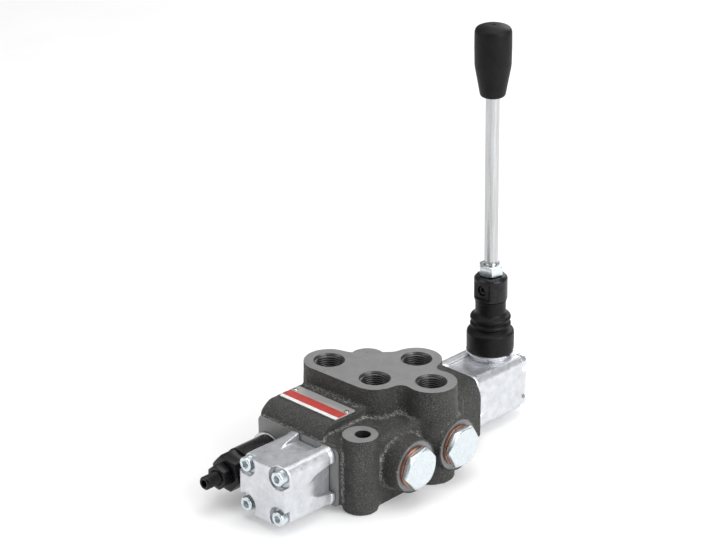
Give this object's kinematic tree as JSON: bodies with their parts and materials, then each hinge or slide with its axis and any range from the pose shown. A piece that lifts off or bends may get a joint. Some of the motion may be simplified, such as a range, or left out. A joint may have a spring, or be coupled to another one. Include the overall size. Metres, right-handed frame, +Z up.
{
  "type": "hydraulic directional control valve",
  "caption": "Monoblock hydraulic spool valve with a port deck, side plugs, spring cap, relief cartridge and an upright hand lever in a rubber boot.",
  "frame": {"origin": "on the machined mounting pad, under the spool axis, midway between service ports A and B", "axes": "+Y along the spool towards the hand lever, +X towards the side plugs, +Z up out of the port deck"},
  "size_m": [0.0984, 0.217, 0.2418],
  "materials": {
    "cast_iron": "sand-cast skin, machined faces lighter",
    "die_cast_aluminium": "tumbled die casting",
    "zinc_steel": "bright zinc plated",
    "ground_steel": "ground, rod zinc plated",
    "spring_steel": "drawn wire",
    "black_steel": "black oxide, semi-gloss",
    "copper": "annealed copper",
    "rubber": "satin moulded",
    "black_plastic": "fine matte",
    "brass": "turned",
    "id_plate": "brushed, with a blank red printed band"
  },
  "bodies": {
    "root": {"centering_spring": "spring_steel", "front_spool_seal": "rubber", "id_plate": "id_plate", "inner_spring_cup": "ground_steel", "lever_boot": "rubber", "lever_box": "die_cast_aluminium", "lever_box_screw_1": "zinc_steel", "lever_box_screw_2": "zinc_steel", "lever_box_screw_3": "zinc_steel", "lever_box_screw_4": "zinc_steel", "lever_pivot_pin": "ground_steel", "load_check_spring": "spring_steel", "outer_spring_cup": "ground_steel", "plate_rivet_1": "zinc_steel", "plate_rivet_2": "zinc_steel", "rear_spool_seal": "rubber", "relief_cartridge": "black_steel", "relief_lock_nut": "black_steel", "relief_seal_washer": "ground_steel", "relief_seat": "ground_steel", "relief_spring": "spring_steel", "side_plug_front": "zinc_steel", "side_plug_rear": "zinc_steel", "side_washer_front": "copper", "side_washer_rear": "copper", "spring_cap": "die_cast_aluminium", "spring_cap_screw_1": "zinc_steel", "spring_cap_screw_2": "zinc_steel", "spring_cap_screw_3": "zinc_steel", "spring_cap_screw_4": "zinc_steel", "valve_body": "cast_iron"},
    "lever": {"lever_hub": "black_steel", "hub_set_screw": "black_steel", "lever_lock_nut": "zinc_steel", "lever_rod": "ground_steel", "lever_knob": "black_plastic", "knob_insert": "brass"},
    "spool": {"spool": "ground_steel", "spool_end_bolt": "black_steel", "spool_link": "ground_steel"},
    "relief_poppet": {"relief_poppet": "ground_steel"},
    "relief_spring_seat": {"relief_spring_seat": "ground_steel"},
    "relief_adjuster": {"relief_adjuster": "black_steel"},
    "load_check_poppet": {"load_check_poppet": "ground_steel"}
  },
  "joints": [
    {"name": "lever_tilt", "type": "hinge", "parent": "root", "child": "lever", "pos_m": [0, 0.0814, 0.044], "axis": [1, 0, 0], "range_deg": [-13, 13], "stiffness_Nm_per_rad": 12, "deforming": ["lever_boot"]},
    {"name": "spool_slide", "type": "slide", "parent": "root", "child": "spool", "axis": [0, 1, 0], "range_m": [-0.0053, 0.0053]},
    {"name": "relief_poppet_slide", "type": "slide", "parent": "root", "child": "relief_poppet", "axis": [0, -1, 0], "range_m": [0, 0.0018], "stiffness_N_per_m": 3000, "deforming": ["relief_spring"]},
    {"name": "load_check_slide", "type": "slide", "parent": "root", "child": "load_check_poppet", "axis": [1, 0, 0], "range_m": [0, 0.003], "stiffness_N_per_m": 400, "deforming": ["load_check_spring"]},
    {"name": "relief_seat_slide", "type": "slide", "parent": "root", "child": "relief_spring_seat", "axis": [0, 1, 0], "range_m": [-0.0018, 0.0018]},
    {"name": "relief_adjuster_turn", "type": "hinge", "parent": "relief_spring_seat", "child": "relief_adjuster", "pos_m": [-0.034, -0.1, 0.0179], "axis": [0, 1, 0], "range_deg": [-540, 540]}
  ],
  "couplings": [
    {"joint": "spool_slide", "follows": "lever_tilt", "m_per_rad": 0.0225},
    {"joint": "relief_adjuster_turn", "follows": "relief_seat_slide", "rad_per_m": 5026.5}
  ]
}
